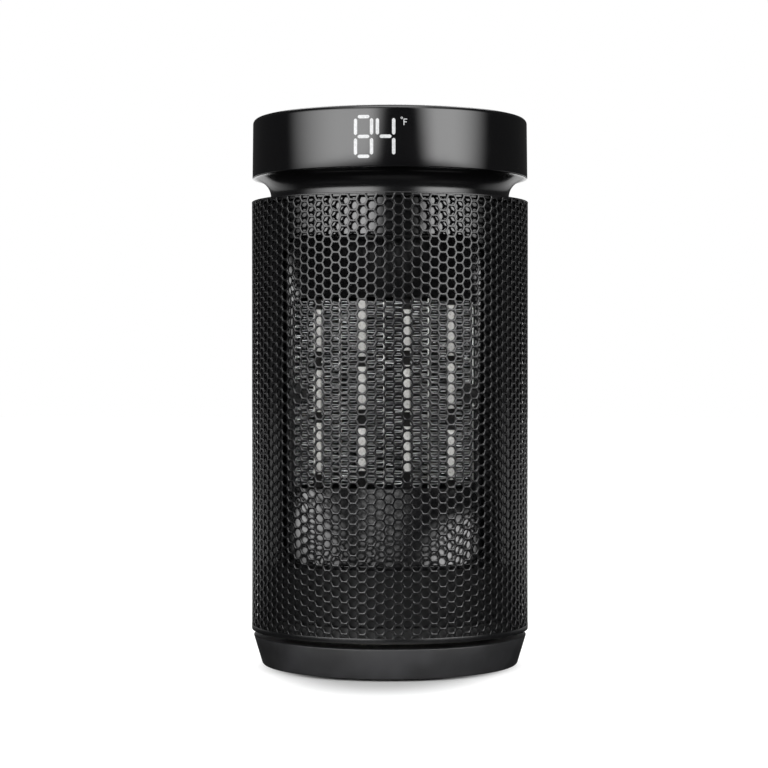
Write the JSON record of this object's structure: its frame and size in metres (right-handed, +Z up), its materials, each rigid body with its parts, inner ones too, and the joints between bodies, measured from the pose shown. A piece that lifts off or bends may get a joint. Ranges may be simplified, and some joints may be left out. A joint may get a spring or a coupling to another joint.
{
  "type": "ceramic space heater",
  "caption": "Round black ceramic tower heater with a perforated steel sleeve, a lit temperature display in its glossy cap, a finger groove and a swinging base.",
  "frame": {"origin": "on the floor under the swivel axis", "axes": "+Z up along the body, -Y towards the front, where the warm air leaves and the display faces"},
  "size_m": [0.168, 0.168, 0.331],
  "materials": {
    "satin_base": "satin black moulded ABS",
    "satin_top": "fine satin black moulded ABS",
    "key_plastic": "satin black keys",
    "tray_plastic": "black moulded PBT",
    "sleeve_enamel": "gloss black powder enamel on perforated steel",
    "cap_gloss": "high-gloss smoked black",
    "neck_gloss": "high-gloss black",
    "housing_gloss": "gloss black heat-resistant housing",
    "dark_plastic": "dark grey moulded",
    "fan_plastic": "dark grey glass-filled",
    "ir_window": "dark infra-red window",
    "rubber": "moulded rubber",
    "nylon": "natural nylon",
    "steel": "zinc-plated steel",
    "strip_steel": "thin contact strip",
    "fin_aluminium": "folded aluminium fin",
    "ptc_ceramic": "grey barium titanate heating stone",
    "circuit_board": "green solder mask",
    "brass": "machined brass"
  },
  "bodies": {
    "base": {"base_shell": "satin_base", "base_plate": "dark_plastic", "foot_1": "rubber", "foot_2": "rubber", "foot_3": "rubber", "foot_4": "rubber", "tip_switch": "dark_plastic", "cord_inlet": "rubber", "swing_ring_gear": "nylon", "pivot_post": "dark_plastic", "pivot_retainer": "steel", "glide_ring": "nylon"},
    "head": {"swivel_tray": "tray_plastic", "swivel_bush": "nylon", "swing_motor": "steel", "grille_sleeve": "sleeve_enamel", "front_housing": "housing_gloss", "rear_housing": "dark_plastic", "outlet_scoop": "housing_gloss", "outlet_hood": "dark_plastic", "neck_ring": "neck_gloss", "cap_band": "cap_gloss", "top_panel": "satin_top", "control_board": "circuit_board", "display_module": "dark_plastic", "ir_receiver": "ir_window", "power_board": "circuit_board", "thermal_cutoff": "steel", "ptc_frame": "dark_plastic", "fan_bulkhead": "dark_plastic", "motor_bracket": "steel", "fan_motor": "steel", "ptc_fin_1_left": "fin_aluminium", "ptc_fin_1_right": "fin_aluminium", "ptc_fin_2_left": "fin_aluminium", "ptc_fin_2_right": "fin_aluminium", "ptc_fin_3_left": "fin_aluminium", "ptc_fin_3_right": "fin_aluminium", "ptc_fin_4_left": "fin_aluminium", "ptc_fin_4_right": "fin_aluminium", "ptc_strip_1": "strip_steel", "ptc_strip_2": "strip_steel", "ptc_strip_3": "strip_steel", "ptc_strip_4": "strip_steel", "ptc_strip_5": "strip_steel", "ptc_stones_1": "ptc_ceramic", "ptc_stones_2": "ptc_ceramic", "ptc_stones_3": "ptc_ceramic", "ptc_stones_4": "ptc_ceramic"},
    "plunger": {"tip_plunger": "nylon"},
    "pinion": {"swing_pinion": "nylon"},
    "fan": {"fan_impeller": "fan_plastic", "fan_shaft": "steel", "fan_nut": "brass"},
    "key_power_body": {"key_power": "key_plastic"},
    "key_swing_body": {"key_swing": "key_plastic"},
    "key_mode_body": {"key_mode": "key_plastic"},
    "key_warmer_body": {"key_warmer": "key_plastic"},
    "key_cooler_body": {"key_cooler": "key_plastic"}
  },
  "joints": [
    {"name": "head_swing", "type": "hinge", "parent": "base", "child": "head", "pos_m": [0, 0, 0.0225], "axis": [0, 0, 1], "range_deg": [-35, 35]},
    {"name": "pinion_turn", "type": "hinge", "parent": "head", "child": "pinion", "pos_m": [-0.02386, 0.03053, 0.014], "axis": [0, 0, 1], "range_deg": [-252.5, 252.5]},
    {"name": "fan_spin", "type": "hinge", "parent": "head", "child": "fan", "pos_m": [0, -0.02, 0.1655], "axis": [0, 1, 0], "continuous": true},
    {"name": "tip_plunger_slide", "type": "slide", "parent": "base", "child": "plunger", "axis": [0, 0, -1], "range_m": [0, 0.004], "stiffness_N_per_m": 120, "springref_m": 0.01},
    {"name": "key_power_press", "type": "slide", "parent": "head", "child": "key_power_body", "axis": [0, 0, -1], "range_m": [0, 0.001], "stiffness_N_per_m": 400},
    {"name": "key_swing_press", "type": "slide", "parent": "head", "child": "key_swing_body", "axis": [0, 0, -1], "range_m": [0, 0.001], "stiffness_N_per_m": 400},
    {"name": "key_mode_press", "type": "slide", "parent": "head", "child": "key_mode_body", "axis": [0, 0, -1], "range_m": [0, 0.001], "stiffness_N_per_m": 400},
    {"name": "key_warmer_press", "type": "slide", "parent": "head", "child": "key_warmer_body", "axis": [0, 0, -1], "range_m": [0, 0.001], "stiffness_N_per_m": 400},
    {"name": "key_cooler_press", "type": "slide", "parent": "head", "child": "key_cooler_body", "axis": [0, 0, -1], "range_m": [0, 0.001], "stiffness_N_per_m": 400}
  ],
  "couplings": [
    {"joint": "pinion_turn", "follows": "head_swing", "ratio": -7.2}
  ]
}
